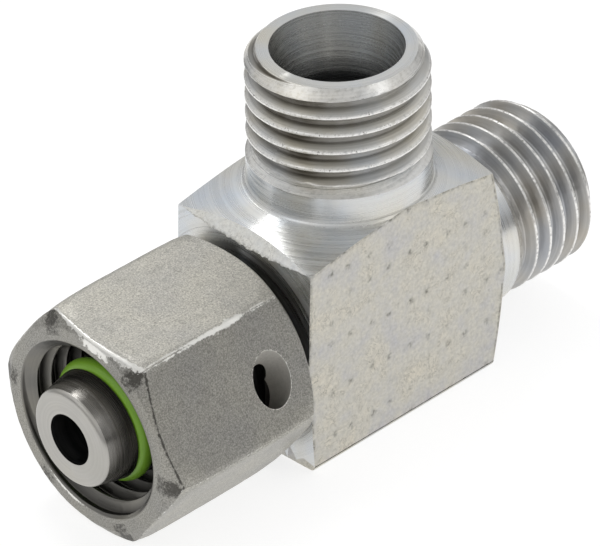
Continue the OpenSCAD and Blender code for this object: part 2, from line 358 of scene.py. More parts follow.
def nut_steel():
    """Hexagon bar, barrel plated with zinc: satin grey with a sandy grain from tumbling, drawn at 0.12 mm
    so that it shows, each face darker or lighter by painted shade, its edges worn smooth with painted
    highlights on them, and dark rough scale left where the chamfer just misses a corner."""
    material, tree = new_material("zinc_plated_tumbled_hexagon")
    place = add(tree, "TexCoord", out="Object")
    sand = add(tree, "TexNoise", {"Vector": place, "Scale": 1 / (0.12 * MM), "Detail": 3.0,
                                  "Roughness": 0.75})
    sand_shade = add(tree, "MapRange", {0: sand, 1: 0.36, 2: 0.64, 3: 0.60, 4: 1.20})
    # Painted shade: how light or dark each face is drawn for the way the light falls on it
    painted_face_shade = add(tree, "Attribute", out="Fac", attribute_name="shade")
    both_shades = add(tree, "Math", {0: sand_shade, 1: painted_face_shade}, operation="MULTIPLY")
    sanded = plated_tint(tree, place, 4.0, 4.0, 0.5, ((0.32, "C5C3BD"), (0.68, "CFCCC2")), both_shades)[1]
    speck = add(tree, "TexNoise", {"Vector": place, "Scale": 1 / (0.7 * MM), "Detail": 2.0})
    speck_dark = add(tree, "MapRange", {0: speck, 1: 0.55, 2: 0.75, 3: 0.0, 4: 0.16})
    scale_field = add(tree, "Attribute", out="Fac", attribute_name="scale")
    rag = add(tree, "TexNoise", {"Vector": place, "Scale": 1 / (0.26 * MM), "Detail": 5.0,
                                 "Roughness": 0.8})
    scale_sum = add(tree, "Math", {0: scale_field, 1: rag}, operation="ADD")
    scale_dark = add(tree, "MapRange", {0: scale_sum, 1: 0.92, 2: 1.08, 3: 0.0, 4: 0.9})
    dark = add(tree, "Math", {0: speck_dark, 1: scale_dark}, operation="MAXIMUM", use_clamp=True)
    marked = add(tree, "Mix", {0: dark, 6: sanded, 7: linear("4A4844")}, out=2, data_type="RGBA")
    # Worn edges: lighter, smoother metal with painted highlights on them
    wear_and_glint_field = add(tree, "Attribute", out="Fac", attribute_name="wear_and_glint")
    wear_and_glint_sum = add(tree, "Math", {0: wear_and_glint_field, 1: rag}, operation="ADD")
    wear_and_glint = add(tree, "MapRange", {0: wear_and_glint_sum, 1: 0.92, 2: 1.05, 3: 0.0, 4: 0.85})
    colour = add(tree, "Mix", {0: wear_and_glint, 6: marked, 7: linear("EFEEE9")}, out=2, data_type="RGBA")
    rough = add(tree, "MapRange", {0: wear_and_glint, 1: 0.0, 2: 1.0, 3: 0.46, 4: 0.28})
    sunk = add(tree, "Math", {0: scale_dark, 1: -1.5, 2: sand}, operation="MULTIPLY_ADD")
    relief = add(tree, "Math", {0: wear_and_glint, 1: 0.8, 2: sunk}, operation="MULTIPLY_ADD")
    finish(tree, colour, 0.95, rough, relief, 0.5, 0.035)
    return material


def hole_steel():
    """The drilled wall of the feed hole: zinc plated, grey and grainy from the drill."""
    material, tree = new_material("zinc_plated_drilled_hole")
    place = add(tree, "TexCoord", out="Object")
    grain = add(tree, "TexNoise", {"Vector": place, "Scale": 1 / (0.2 * MM), "Detail": 3.0})
    colour = add(tree, "Mix", {0: grain, 6: linear("C4C1BA"), 7: linear("E2DFD8")}, out=2,
                 data_type="RGBA")
    finish(tree, colour, 0.5, 0.6, grain, 0.4, 0.02)
    return material


def seal_rubber():
    """Fluorocarbon rubber, moulded and coloured green: satin, with a slight bloom that makes the colour
    uneven."""
    material, tree = new_material("green_moulded_rubber")
    place = add(tree, "TexCoord", out="Object")
    bloom = add(tree, "TexNoise", {"Vector": place, "Scale": 1 / (1.5 * MM), "Detail": 3.0})
    colour = add(tree, "Mix", {0: bloom, 6: linear("86C030"), 7: linear("9CD048")}, out=2,
                 data_type="RGBA")
    fine = add(tree, "TexNoise", {"Vector": place, "Scale": 1 / (0.2 * MM), "Detail": 2.0})
    finish(tree, colour, 0.0, 0.38, fine, 0.3, 0.01)
    return material


def drawn_wire_steel():
    """Hard drawn steel wire, bare: dark grey with fine lines along it."""
    material, tree = new_material("bare_drawn_wire")
    lines = turned_marks(tree, "X", 0.3)[2]
    colour = add(tree, "Mix", {0: lines, 6: linear("5A5A58"), 7: linear("7C7B78")}, out=2,
                 data_type="RGBA")
    finish(tree, colour, 1.0, 0.45, lines, 0.4, 0.02)
    return material


# Three tones of each plated surface: where it is bluish, plain and straw coloured
PLATED = ("CDD3DA", "D6D7D6", "D9D6CC")
BRIGHT = ("CED1D4", "D3D2CE", "D6D1C4")
RUN_THREAD = ("B2B4B8", "B8B7B5", "BAB5AC")
BORE = ("C8CBCF", "CDCECD", "CFCCC5")
# A dark tone for the metal under the nut and in the nose: painted shade
SHADED_INNER = ("55565A", "5C5C5B", "62605B")
# A dark tone for the thread inside the nut: painted shade
NUT_BORE_SHADE = ("6E6D6A", "7B7974", "858278")
NOSE_FACE = ("AEACA6", "B4B2AD", "B9B6AE")
# A darker tone for the nose's cone: painted shade
SHADED_NOSE_CONE = ("82807C", "8A8884", "94918B")
SIDE_SKIN = ("CCCBCC", "D8D5CC", "E2DCCD")
# A lighter copy of the side skin for the upward slant: painted light
LIT_SLANT_SKIN = ("E2E4E6", "EAEAE6", "EEEBE2")
# The turned outside of the block and collars, round the branch and round the run
branch_steel = turned_steel("zinc_plated_turned_branch", "Z", PLATED, 0.26, 0.27, stretch=0.85,
                            scratches=0.3)
run_steel = turned_steel("zinc_plated_turned_run", "X", PLATED, 0.26, 0.27, stretch=0.85, scratches=0.4)
# The reamed bore that shows from above, with painted shade deep down, and the metal under the nut and
# in the nose, darkened all over with painted shade
bore_steel = turned_steel("zinc_plated_reamed_bore", "Z", BORE, 0.14, 0.26, shade=(0.88, 1.06),
                          stretch=0.85, shade_below=16.5)
shaded_inner_steel = turned_steel("zinc_plated_spigot_and_bore_painted_shade", "X", SHADED_INNER, 0.16, 0.34, shade=(0.7, 1.2),
                           stretch=0.5)
# The cut threads, with painted shade in their roots and a painted highlight on their crests
branch_thread_steel = turned_steel("zinc_plated_cut_thread_branch", "Z", BRIGHT, 0.10, 0.30,
                                   shade=(0.68, 1.10), threaded=True, root="49443B",
                                   painted_shade_side=(-0.73, 0.69, 0.0), crest=0.85, crest_highlight_end=0.30)
run_thread_steel = turned_steel("zinc_plated_cut_thread_run", "X", RUN_THREAD, 0.10, 0.34,
                                shade=(0.84, 1.08), threaded=True, crest=0.95, crest_highlight_end=0.09)
# The thread inside the nut, darkened with painted shade and darker still in its roots
nut_bore_steel = turned_steel("zinc_plated_cut_thread_nut", "X", NUT_BORE_SHADE, 0.12, 0.32, threaded=True,
                              root="2E2C2A")
# The nose: a plain turned end face and a smoother cone, darkened with painted shade
nose_steel = turned_steel("zinc_plated_turned_nose", "X", NOSE_FACE, 0.20, 0.34, stretch=0.2)
shaded_cone_steel = turned_steel("sealing_cone_painted_shade", "X", SHADED_NOSE_CONE, 0.20, 0.26, stretch=0.3)
raw_steel = raw_face_steel("zinc_plated_drawn_bar", SIDE_SKIN)
# The slant gets a lighter copy of the drawn bar: painted light
lit_slant_steel = raw_face_steel("zinc_plated_drawn_bar_painted_light", LIT_SLANT_SKIN)
hex_steel = nut_steel()
drilled_steel = hole_steel()

# Screw threads


def place_round(tree, cosine, sine, radius, reach):
    """The place at a radius and an angle round a thread's axis, and a reach along it."""
    x = add(tree, "Math", {0: cosine, 1: radius}, operation="MULTIPLY")
    y = add(tree, "Math", {0: sine, 1: radius}, operation="MULTIPLY")
    return add(tree, "CombineXYZ", {0: x, 1: y, 2: reach})


def thread_tree(name, inside):
    """A node tree that makes a ring with a screw thread on one side.

    The ring is a grid, row by row along the axis, whose radius follows the thread's own profile. On a male
    end the thread runs out in a groove beside the collar and fades into the end chamfer. Inside a nut it
    fades into the mouth. The other side of the ring is a plain wall that lies inside the metal."""
    tree = bpy.data.node_groups.new(name, "GeometryNodeTree")
    tree.is_modifier = True
    tree.interface.new_socket("Geometry", in_out="OUTPUT", socket_type="NodeSocketGeometry")
    sizes = [("Start", "Float"), ("End", "Float"), ("Crest radius", "Float"), ("Depth", "Float"),
             ("Pitch", "Float"), ("Crest place", "Float"), ("Start radius", "Float"),
             ("End radius", "Float"),
             ("Hidden radius", "Float"), ("Run-out flat", "Float"), ("Rows", "Int"), ("Step", "Float"),
             ("Around", "Int"), ("Tear", "Float"), ("Turn", "Rotation"), ("Steel", "Material")]
    for label, kind in sizes:
        tree.interface.new_socket(label, in_out="INPUT", socket_type="NodeSocket" + kind)
    given = tree.nodes.new("NodeGroupInput").outputs
    place = add(tree, "GeometryNodeInputPosition")
    parts = add(tree, "SeparateXYZ", {0: place}).node.outputs
    turn = add(tree, "Math", {0: parts[1], 1: 0.5}, operation="ADD")
    length = add(tree, "Math", {0: given["End"], 1: given["Start"]}, operation="SUBTRACT")
    # Each row climbs with the helix, so that crests and roots run along rows. Past an end a row is held
    # for two steps and then folds straight down to the hidden wall
    last = add(tree, "Math", {0: given["Rows"], 1: 1.0}, operation="SUBTRACT")
    row = add(tree, "Math", {0: parts[0], 1: 0.5}, operation="ADD")
    number = add(tree, "Math", {0: row, 1: last, 2: -3.0}, operation="MULTIPLY_ADD")
    from_seam = add(tree, "Math", {0: 1.0 if inside else 0.0, 1: turn},
                    operation="SUBTRACT" if inside else "ADD")
    climb = add(tree, "Math", {0: from_seam, 1: 1.0}, operation="SUBTRACT")
    climbed = add(tree, "Math", {0: climb, 1: given["Pitch"], 2: given["Start"]},
                  operation="MULTIPLY_ADD")
    free = add(tree, "Math", {0: number, 1: given["Step"], 2: climbed}, operation="MULTIPLY_ADD")
    z = add(tree, "Clamp", {0: free, 1: given["Start"], 2: given["End"]})
    past = add(tree, "Math", {0: free, 1: z}, operation="SUBTRACT")
    past_size = add(tree, "Math", {0: past}, operation="ABSOLUTE")
    held = add(tree, "Math", {0: given["Step"], 1: 1.999}, operation="MULTIPLY")
    folded = add(tree, "Math", {0: past_size, 1: held}, operation="GREATER_THAN")
    # Distance along the axis from the nearest crest of a right-handed thread
    lead = add(tree, "Math", {0: z, 1: given["Crest place"]}, operation="SUBTRACT")
    turns = add(tree, "Math", {0: lead, 1: given["Pitch"]}, operation="DIVIDE")
    phase = add(tree, "Math", {0: turns, 1: turn}, operation="ADD" if inside else "SUBTRACT")
    moved = add(tree, "Math", {0: phase, 1: 0.5}, operation="ADD")
    wrapped = add(tree, "Math", {0: moved}, operation="FRACT")
    centred = add(tree, "Math", {0: wrapped, 1: 0.5}, operation="SUBTRACT")
    one_side = add(tree, "Math", {0: centred}, operation="ABSOLUTE")
    crest_flat = add(tree, "Math", {0: one_side, 1: 1 / 16}, operation="SUBTRACT")
    slope = add(tree, "Math", {0: given["Pitch"], 1: math.sqrt(3)}, operation="MULTIPLY")
    flank = add(tree, "Math", {0: crest_flat, 1: slope}, operation="MULTIPLY")
    from_crest = add(tree, "Math", {0: flank, 1: 0.0, 2: 0.10}, operation="SMOOTH_MAX")
    drop = add(tree, "Math", {0: from_crest, 1: given["Depth"], 2: 0.12}, operation="SMOOTH_MIN")
    from_start = add(tree, "Math", {0: z, 1: given["Start"]}, operation="SUBTRACT")
    to_end = add(tree, "Math", {0: given["End"], 1: z}, operation="SUBTRACT")
    if inside:
        screw = add(tree, "Math", {0: given["Crest radius"], 1: drop}, operation="ADD")
        mouth = add(tree, "Math", {0: given["End radius"], 1: to_end}, operation="SUBTRACT")
        shaped = add(tree, "Math", {0: screw, 1: mouth, 2: 0.04}, operation="SMOOTH_MAX")
    else:
        screw = add(tree, "Math", {0: given["Crest radius"], 1: drop}, operation="SUBTRACT")
        chamfer = add(tree, "Math", {0: given["End radius"], 1: to_end}, operation="ADD")
        ended = add(tree, "Math", {0: screw, 1: chamfer, 2: 0.06}, operation="SMOOTH_MIN")
        # The run-out groove: down from the collar's edge, flat, and up to the crests
        root = add(tree, "Math", {0: given["Crest radius"], 1: given["Depth"]}, operation="SUBTRACT")
        fall = add(tree, "Math", {0: from_start, 1: -math.sqrt(3), 2: given["Start radius"]},
                   operation="MULTIPLY_ADD")
        fall_depth = add(tree, "Math", {0: given["Start radius"], 1: root}, operation="SUBTRACT")
        fall_length = add(tree, "Math", {0: fall_depth, 1: 1 / math.sqrt(3), 2: given["Run-out flat"]},
                          operation="MULTIPLY_ADD")
        beyond = add(tree, "Math", {0: from_start, 1: fall_length}, operation="SUBTRACT")
        rise = add(tree, "Math", {0: beyond, 1: math.sqrt(3), 2: root}, operation="MULTIPLY_ADD")
        rising = add(tree, "Math", {0: rise, 1: root}, operation="MAXIMUM")
        grooved = add(tree, "Math", {0: ended, 1: rising, 2: 0.05}, operation="SMOOTH_MIN")
        shaped = add(tree, "Math", {0: grooved, 1: fall, 2: 0.03}, operation="SMOOTH_MAX")
    # Torn and dented crests
    angle = add(tree, "Math", {0: turn, 1: 2 * math.pi}, operation="MULTIPLY")
    cosine = add(tree, "Math", {0: angle}, operation="COSINE")
    sine = add(tree, "Math", {0: angle}, operation="SINE")
    bare = place_round(tree, cosine, sine, shaped, z)
    torn = add(tree, "TexNoise", {"Vector": bare, "Scale": 1.6, "Detail": 5.0, "Roughness": 0.7}, out=0)
    tear = add(tree, "MapRange", {0: torn, 1: 0.52, 2: 0.78, 3: 0.0, 4: given["Tear"]})
    worn = add(tree, "Math", {0: shaped, 1: tear}, operation="ADD" if inside else "SUBTRACT")
    fold = add(tree, "Math", {0: folded, 1: 100.0 if inside else -100.0, 2: worn},
               operation="MULTIPLY_ADD")
    radius = add(tree, "Math", {0: fold, 1: given["Hidden radius"]},
                 operation="MINIMUM" if inside else "MAXIMUM")
    placed = place_round(tree, cosine, sine, radius, z)
    sheet = add(tree, "GeometryNodeMeshGrid", {"Size X": 1.0, "Size Y": 1.0, "Vertices X": given["Rows"],
                                               "Vertices Y": given["Around"]})
    # How far along the axis each point is from its crest, so that tool lines can follow the thread
    from_middle = add(tree, "Math", {0: centred, 1: given["Pitch"]}, operation="MULTIPLY")
    noted = add(tree, "GeometryNodeStoreNamedAttribute", {"Geometry": sheet, "Name": "tool_line",
                                                          "Value": from_middle})
    # Depth below the crest, and less than nothing where a chamfer or the run-out has cut the thread away
    depth = add(tree, "Math", {0: drop, 1: given["Depth"]}, operation="DIVIDE")
    cut_away = add(tree, "Math", {0: screw, 1: shaped}, operation="SUBTRACT")
    cut_size = add(tree, "Math", {0: cut_away}, operation="ABSOLUTE")
    whole = add(tree, "MapRange", {0: cut_size, 1: 0.05, 2: 0.15, 3: 1.0, 4: 0.0})
    kept = add(tree, "Math", {0: depth, 1: whole}, operation="MULTIPLY")
    gone = add(tree, "Math", {0: whole, 1: 1.0}, operation="SUBTRACT")
    depth = add(tree, "Math", {0: gone, 1: 0.5, 2: kept}, operation="MULTIPLY_ADD")
    deep = add(tree, "GeometryNodeStoreNamedAttribute", {"Geometry": noted, "Name": "groove",
                                                         "Value": depth})
    screwed = add(tree, "GeometryNodeSetPosition", {"Geometry": deep, "Position": placed})
    wall = add(tree, "GeometryNodeMeshGrid", {"Size X": 1.0, "Size Y": 1.0, "Vertices X": 2,
                                              "Vertices Y": given["Around"]})
    wall_share = add(tree, "Math", {0: parts[0], 1: 0.5}, operation="ADD")
    wall_z = add(tree, "Math", {0: wall_share, 1: length, 2: given["Start"]}, operation="MULTIPLY_ADD")
    wall_place = place_round(tree, cosine, sine, given["Hidden radius"], wall_z)
    walled = add(tree, "GeometryNodeSetPosition", {"Geometry": wall, "Position": wall_place})
    if inside:
        walled = add(tree, "GeometryNodeFlipFaces", {"Mesh": walled})
    else:
        screwed = add(tree, "GeometryNodeFlipFaces", {"Mesh": screwed})
    joined = add(tree, "GeometryNodeJoinGeometry", {0: screwed})
    tree.links.new(walled, joined.node.inputs[0])
    closed = add(tree, "GeometryNodeMergeByDistance", {"Geometry": joined, "Distance": 0.0005})
    rounded = add(tree, "GeometryNodeSetShadeSmooth", {"Geometry": closed})
    turned = add(tree, "GeometryNodeTransform", {"Geometry": rounded, "Rotation": given["Turn"],
                                                 "Scale": (MM, MM, MM)})
    real = add(tree, "GeometryNodeRealizeInstances", {"Geometry": turned})
    steel = add(tree, "GeometryNodeSetMaterial", {"Geometry": real, "Material": given["Steel"]})
    add(tree, "NodeGroupOutput", {"Geometry": steel})
    return tree


def threaded_ring(name, tree, **sizes):
    """Runs a thread tree with its sizes and returns the ring as a plain mesh object."""
    sizes["Pitch"] = PITCH
    sizes["Around"] = 256
    sizes["Step"] = PITCH / 32
    sizes["Rows"] = math.ceil((sizes["End"] - sizes["Start"] + PITCH) / sizes["Step"]) + 8
    maker = linked(name + "_maker", bpy.data.meshes.new(name + "_maker"))
    modifier = maker.modifiers.new("thread", "NODES")
    modifier.node_group = tree
    sockets = {item.name: item.identifier for item in tree.interface.items_tree if item.in_out == "INPUT"}
    for label, value in sizes.items():
        modifier[sockets[label]] = value
    ring = plain_copy(maker, name)
    ring.data.set_sharp_from_angle(angle=math.radians(40))
    return ring


male_thread = thread_tree("male_thread", inside=False)
nut_thread = thread_tree("nut_thread", inside=True)
# A ring stops this far short of an end face, so that the two don't lie in one plane
CLEAR = 0.004
MALE = {"End": END_REACH - CLEAR, "Crest radius": CREST_R, "Depth": THREAD_DEPTH, "Start radius": COLLAR_R,
        "End radius": END_FACE_R, "Hidden radius": 5.6, "Run-out flat": 0.14, "Tear": 0.05}
# Crest place is the reach of a crest where the angle round the axis is zero
branch_thread = threaded_ring("branch_thread", male_thread, **MALE, **{
    "Start": BRANCH_COLLAR, "Crest place": 13.2 + PITCH * 134 / 360, "Turn": (0.0, 0.0, 0.0),
    "Steel": branch_thread_steel})
run_thread = threaded_ring("run_thread", male_thread, **MALE, **{
    "Start": RUN_COLLAR, "Crest place": 14.287 + PITCH * 90 / 360, "Turn": (0.0, math.pi / 2, 0.0),
    "Steel": run_thread_steel})
inner_thread = threaded_ring("nut_inner_thread", nut_thread, **{
    "Start": NUT_THREAD_START, "End": NUT_FRONT - CLEAR, "Crest radius": 6.188, "Depth": 0.82,
    "Crest place": 24.2, "End radius": NUT_MOUTH_R, "Hidden radius": NUT_THREAD_HIDDEN_R, "Tear": 0.03,
    "Turn": (0.0, -math.pi / 2, 0.0), "Steel": nut_bore_steel})
for ring in (branch_thread, run_thread):
    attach(ring, "tee")
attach(inner_thread, "nut")

# The tee's body: its solid's own surface, without the plain threads, the raw faces and the nose


def tee_shell():
    """A merged copy of the body's surface, its faces sorted by how each was made."""
    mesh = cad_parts["tee_body"].data.copy()
    mesh.name = "tee_shell"
    give(mesh, branch_steel, run_steel, raw_steel, bore_steel, shaded_inner_steel)
    branch_slot, run_slot, raw_slot, bore_slot, inner_slot = range(5)
    form = bmesh.new()
    form.from_mesh(mesh)
    bmesh.ops.remove_doubles(form, verts=form.verts, dist=1e-7)
    thread_r = END_FACE_R - 0.01
    gone = []
    for face in form.faces:
        c = face.calc_center_median() / MM
        n = face.normal
        spots = [v.co / MM for v in face.verts]
        from_run = math.hypot(c.y, c.z)
        from_branch = math.hypot(c.x, c.y)
        on_branch = all(p.z > BRANCH_COLLAR - 0.002 and math.hypot(p.x, p.y) > thread_r for p in spots)
        on_run = all(p.x > RUN_COLLAR - 0.002 and math.hypot(p.y, p.z) > thread_r for p in spots)
        on_nose = all(p.x < 0.01 - NOSE_WALL for p in spots) and n.x < 0.5 and from_run > NOSE_BORE_R + 0.05
        on_side = abs(n.y) > 0.99 and abs(c.y) > BLOCK_HALF - 0.01
        on_slant = (c.z - c.x) / math.sqrt(2) > FACET - 0.01 and n.z - n.x > 1.38
        if (on_branch and n.z < 0.99) or (on_run and n.x < 0.99) or on_nose or on_side or on_slant:
            gone.append(face)
            continue
        face.smooth = True
        face.material_index = run_slot
        if c.x < -10.3 and from_run < 5.9 and (c.x < -11.2 or n.x > -0.9):
            # The nose's bore, and the spigot under the nut
            face.material_index = inner_slot
        elif from_branch < 5.1 and c.z > 2.2 and n.z < 0.98:
            face.material_index = bore_slot
        elif c.z < 0.6 - BLOCK_BOTTOM and c.x > -10.4 and abs(c.y) < BLOCK_HALF:
            face.material_index = raw_slot
        elif c.z > 10.0 or (n.z > 0.9 and c.z > 8.5) or (from_branch < 4.2 and c.z > 2.2):
            face.material_index = branch_slot
    bmesh.ops.delete(form, geom=gone, context="FACES")
    form.to_mesh(mesh)
    form.free()
    # The normals that came with the solid don't fit the merged surface
    mesh.attributes.remove(mesh.attributes["custom_normal"])
    mesh.set_sharp_from_angle(angle=math.radians(25))
    return linked("tee_shell", mesh)


def turned_limit(peak, slope, r):
    """How far out a turned side of the block reaches at a radius, with the fillet against its collar."""
    rise = math.hypot(1, slope)
    fillet_r = COLLAR_R + COLLAR_FILLET
    if r >= fillet_r - COLLAR_FILLET * slope / rise:
        return peak - slope * r
    hollow = math.sqrt(max(COLLAR_FILLET ** 2 - (r - fillet_r) ** 2, 0))
    return peak - slope * fillet_r + COLLAR_FILLET * rise - hollow


def jaw_pits(points, side):
    """Pits where the jaws held the bar: on a lattice, each a little off it and with its own strength."""
    step = 2.035
    x = points[:, 0] - 0.15
    z = points[:, 2] + 0.22
    cell_x = np.round(x / step)
    cell_z = np.round(z / step)
    off_x = 0.16 * np.sin(cell_x * 3.7 + cell_z * 9.1 + side)
    off_z = 0.16 * np.sin(cell_x * 7.3 + cell_z * 4.3 - side)
    near = np.hypot(x - cell_x * step - off_x, z - cell_z * step - off_z)
    strength = np.clip(0.60 + 0.50 * np.sin(cell_x * 12.99 + cell_z * 78.23 + side), 0.1, 1.0)
    blotch = 1 + 0.9 * ripple(points, 0.30, 9 + side)
    hook = np.clip(0.7 + 1.6 * ripple(points, 0.18, 7 + side), 0, 1)
    return strength * hook * np.exp(-((near - 0.08) / (0.18 * np.maximum(blotch, 0.3))) ** 2)


def raw_side(name, side):
    """One raw side face as a fine sheet that breaks over to the turned faces along its edge."""
    count = 190
    # The strip below this is the solid's own, down to its underside
    foot = 0.5 - BLOCK_BOTTOM
    rows = []
    for i in range(count + 1):
        t = i / count
        for j in range(count + 1):
            u = j / count
            # A first guess at the height. Each limit depends on the others, so the three are worked out
            # again and again
            z = foot + t * (BLOCK_BOTTOM + 8.9)
            for _ in range(3):
                right = turned_limit(FRONT_PEAK, FRONT_SLOPE, math.hypot(z, BLOCK_HALF))
                left = -turned_limit(REAR_PEAK, REAR_SLOPE, math.hypot(z, BLOCK_HALF))
                x = left + (right - left) * u
                top = turned_limit(TOP_PEAK, TOP_SLOPE, math.hypot(x, BLOCK_HALF))
                z = foot + t * (top - foot)
            cut = (FACET_RISE - z + x) / math.sqrt(2)
            if cut < 0:
                x -= cut / math.sqrt(2)
                z += cut / math.sqrt(2)
            rows.append((x, z, min(top - z, right - x, x - left, max(cut, 0.0))))
    x, z, edge = np.array(rows).T
    points = np.stack([x, np.full_like(x, side * BLOCK_HALF), z], axis=1)
    pit = jaw_pits(points, side)
    wavy = ripple(points, 2.2, 1 + side) * 0.012 + ripple(points, 0.5, 3 + side) * 0.005
    # A shallow torn furrow runs just inside each cut edge, and comes and goes
    ragged = 0.5 + 0.9 * ripple(points, 0.5, 5 + side)
    furrow = np.clip(ragged, 0, 1) * np.exp(-((edge - 0.11) / 0.09) ** 2)
    sink = 0.03 * pit + 0.07 * furrow - wavy * np.clip(edge / 0.5, 0, 1)
    points[:, 1] -= side * np.maximum(sink, -0.01) * np.clip(edge / 0.03, 0, 1)
    faces = grid_faces(count + 1, count + 1, closed_columns=False, flip=side > 0)
    made = mesh_object(name, points, faces, {"pit": pit, "torn": furrow})
    give(made.data, raw_steel)
    return made


def slant_face():
    """The raw slanting face over the nut, which the tool left with a ragged lip along its lower edge."""
    across = 240
    up = 24
    across_y = np.linspace(-BLOCK_HALF, BLOCK_HALF, across + 1)
    lower = []
    upper = []
    for y in across_y:
        low = -REAR_PEAK
        high = -4.0
        # The edges lie where the slant meets the turned faces, found by closing in on them
        for _ in range(40):
            low = -(REAR_PEAK - REAR_SLOPE * math.hypot(y, low + FACET_RISE))
            high = TOP_PEAK - TOP_SLOPE * math.hypot(high, y) - FACET_RISE
        lower.append(low)
        upper.append(max(high, low))
    lower = np.array(lower)
    height = np.array(upper) - lower
    spread = np.stack([lower, across_y * 3, lower], axis=1)
    burr = 0.06 + 0.16 * np.clip(ripple(spread, 0.9, 41), -0.2, 1)
    lip = np.clip(height / 0.4, 0, 1) * burr
    points = []
    for share in np.linspace(0, 1, up + 1):
        x = lower - lip * (1 - share) ** 3 + height * share
        points.append(np.stack([x, across_y, x + FACET_RISE], axis=1))
    points = np.concatenate(points)
    bulge = np.repeat(np.sin(np.linspace(0, math.pi, up + 1)), across + 1)
    points += np.outer(0.02 * ripple(points, 0.8, 42) * bulge, (-math.sqrt(0.5), 0, math.sqrt(0.5)))
    torn = np.repeat(np.clip(1 - np.linspace(0, 1, up + 1) * 5, 0, 1), across + 1) * 0.6
    faces = grid_faces(up + 1, across + 1, closed_columns=False)
    made = mesh_object("slant_face", points, faces, {"torn": torn, "pit": torn * 0})
    give(made.data, lit_slant_steel)
    return made


def nose():
    """The spigot's nose beyond the seal's groove: a 24 degree cone with a rounded tip."""
    taper = math.tan(NOSE_TAPER)
    # The rounding touches the cone and the end face
    middle_r = NOSE_TIP_R + NOSE_ROUNDING * taper - NOSE_ROUNDING / math.cos(NOSE_TAPER)
    middle = NOSE_REACH - NOSE_ROUNDING
    start = NOSE_WALL + 0.02
    cone_end = middle + NOSE_ROUNDING * math.sin(NOSE_TAPER)
    cone = [NOSE_WALL] + [start + t * (cone_end - start) for t in np.linspace(0, 1, 30, endpoint=False)]
    section = [(s, NOSE_TIP_R + (NOSE_REACH - s) * taper) for s in cone]
    section += [(middle + NOSE_ROUNDING * math.sin(a), middle_r + NOSE_ROUNDING * math.cos(a))
                for a in np.linspace(NOSE_TAPER, math.pi / 2, 16)]
    section += [(NOSE_REACH, r) for r in np.linspace(middle_r, NOSE_BORE_R, 8)[1:]]
    count = 192
    turn = np.linspace(0, 2 * math.pi, count, endpoint=False)
    points = np.concatenate([np.stack([np.full(count, -s), r * np.sin(turn), r * np.cos(turn)], axis=1)
                             for s, r in section])
    near_tip = (points[:, 0] < -26.4) * (points[:, 0] > 0.02 - NOSE_REACH)
    dents = 0.02 * np.clip(ripple(points, 0.7, 31) - 0.15, 0, 1) * near_tip
    radial = np.hypot(points[:, 1], points[:, 2])
    points[:, 1:] *= (1 - dents / radial)[:, None]
    made = mesh_object("nose", points, grid_faces(len(section), count, flip=True))
    give(made.data, nose_steel, shaded_cone_steel)
    for face in made.data.polygons:
        face.material_index = 1 if face.center.x > -(middle + 0.1) * MM else 0
    return made


shell = tee_shell()
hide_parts("tee_body")
tee_pieces = [shell, raw_side("raw_face_front", -1), raw_side("raw_face_back", 1), slant_face(), nose()]
for piece in tee_pieces:
    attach(piece, "tee")

# The nut


def nut_form():
    """The nut as one closed surface, ring after ring along its section, with worn and dented edges."""
    # The points of a side lie closer together towards its corners
    t = np.linspace(-1, 1, 72, endpoint=False)
    offset = 30 * (1.35 * t - 0.35 * t ** 3)
    theta = np.radians(np.concatenate([NUT_TURN + 30 + 60 * k + offset for k in range(6)]))
    flats = NUT_AF / 2 / np.cos(np.radians(np.concatenate([offset] * 6)))
    count = len(theta)

    def at(s, r):
        return np.stack([np.full(count, -s), r * np.sin(theta), r * np.cos(theta)], axis=1)

    rings = []
    # Outside, from the rear face to the front face
    reach = np.concatenate([NUT_REAR + np.linspace(0, 1.3, 26, endpoint=False),
                            np.linspace(NUT_REAR + 1.3, 25.1, 84, endpoint=False),
                            np.linspace(25.1, NUT_FRONT, 24)])
    for s in reach:
        corner = NUT_CORNER_R + 0.035 * ripple(at(s, np.full(count, NUT_CORNER_R)), 0.9, 11)
        rear = REAR_CHAMFER_R + (s - NUT_REAR) / REAR_CHAMFER
        front = FRONT_CHAMFER_R + (NUT_FRONT - s) / FRONT_CHAMFER
        edge_noise = ripple(at(s, np.full(count, 9.0)), 0.6, 12)
        # The hexagon's corners are knocked rounder towards the two ends
        end_near = math.exp(-max(NUT_FRONT - 0.8 - s, 0) / 1.3)
        end_near += 0.6 * math.exp(-max(s - NUT_REAR - 1.1, 0) / 0.9)
        r = smooth_min(flats, corner - 0.15 * end_near, 0.08 + 0.90 * end_near)
        r = smooth_min(r, front + 0.05 * edge_noise, 0.20)
        r = smooth_min(r, np.full(count, rear), 0.14)
        rings.append(at(s, r - 0.006 * ripple(at(s, r), 1.8, 13)))
    # The front face, the mouth, the wall behind the thread, the relief, and the bore with the wire's groove
    section = [(NUT_FRONT, r) for r in (8.12, 7.9, 7.6, 7.35, 7.22)]
    section += [(NUT_FRONT - 0.03, NUT_MOUTH_R - 0.01), (NUT_FRONT - 0.10, NUT_MOUTH_R + 0.02)]
    section += [(NUT_THREAD_START, NUT_THREAD_HIDDEN_R - 0.05), (NUT_THREAD_START, NUT_RELIEF_R)]
    section += [(NUT_RELIEF_START, NUT_RELIEF_R), (NUT_RELIEF_START, NUT_BORE_R), (16.4, NUT_BORE_R)]
    section += [(WIRE_REACH + WIRE_GROOVE_R * math.cos(a), WIRE_RING_R + WIRE_GROOVE_R * math.sin(a))
                for a in np.linspace(0.03, math.pi - 0.03, 13)]
    section += [(13.4, NUT_BORE_R), (NUT_REAR + 0.3, NUT_BORE_R), (NUT_REAR, NUT_BORE_R + 0.3)]
    section += [(NUT_REAR, 6.8), (NUT_REAR, 7.8)]
    for s, r in section:
        rings.append(at(s, np.full(count, r)))
    faces = grid_faces(len(rings), count, closed_rows=True)
    return mesh_object("swivel_nut_form", np.concatenate(rings), faces)


